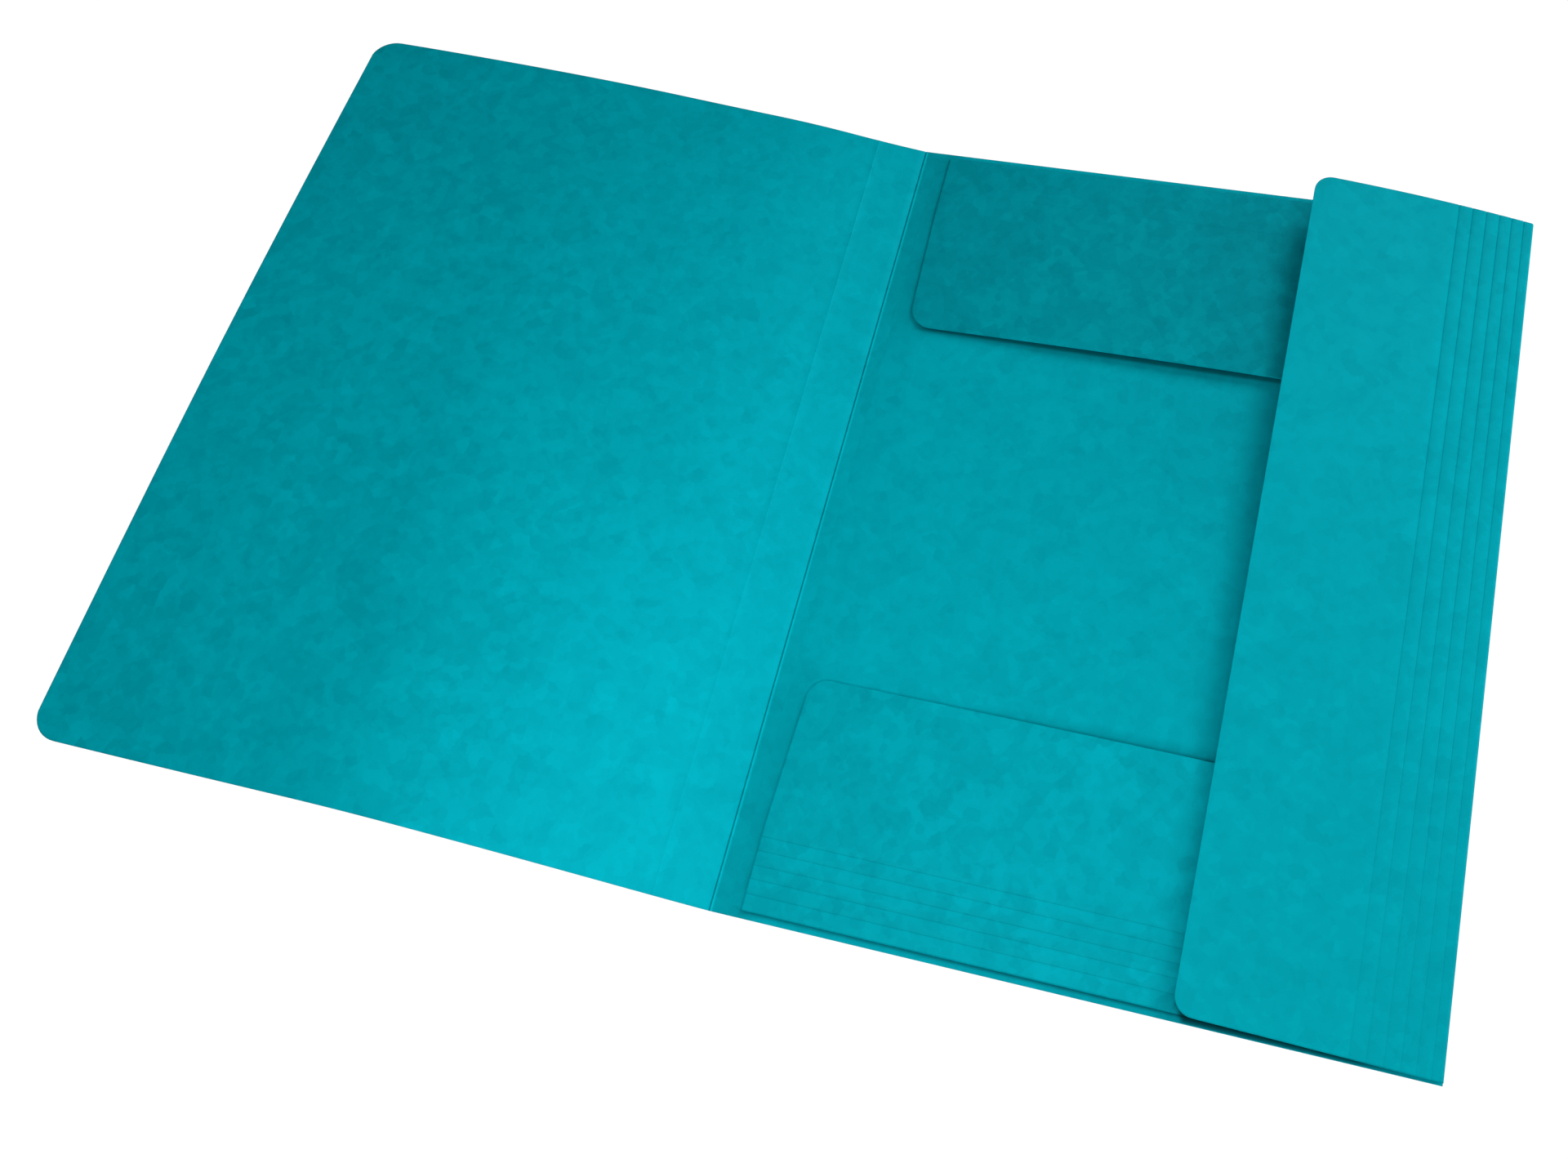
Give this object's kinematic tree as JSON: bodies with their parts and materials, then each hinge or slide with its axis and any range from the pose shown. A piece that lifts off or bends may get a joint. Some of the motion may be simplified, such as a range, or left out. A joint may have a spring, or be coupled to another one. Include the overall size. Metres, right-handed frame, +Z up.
{
  "type": "three flap folder",
  "caption": "Card folder lying open: a creased cover sheet with a flap sheet inside its back, the flaps folded in over the panel.",
  "frame": {"origin": "middle of the spine fold, on the surface that the folder lies on", "axes": "+X across the back panel, away from the spine, +Y along the spine towards the top flap, +Z up"},
  "size_m": [0.4775, 0.32, 0.0476],
  "materials": {
    "cover_card": "mottled pressed card, satin",
    "flap_card": "mottled pressed card, satin"
  },
  "bodies": {
    "root": {"cover_sheet": "cover_card", "flap_sheet": "flap_card"}
  },
  "joints": []
}
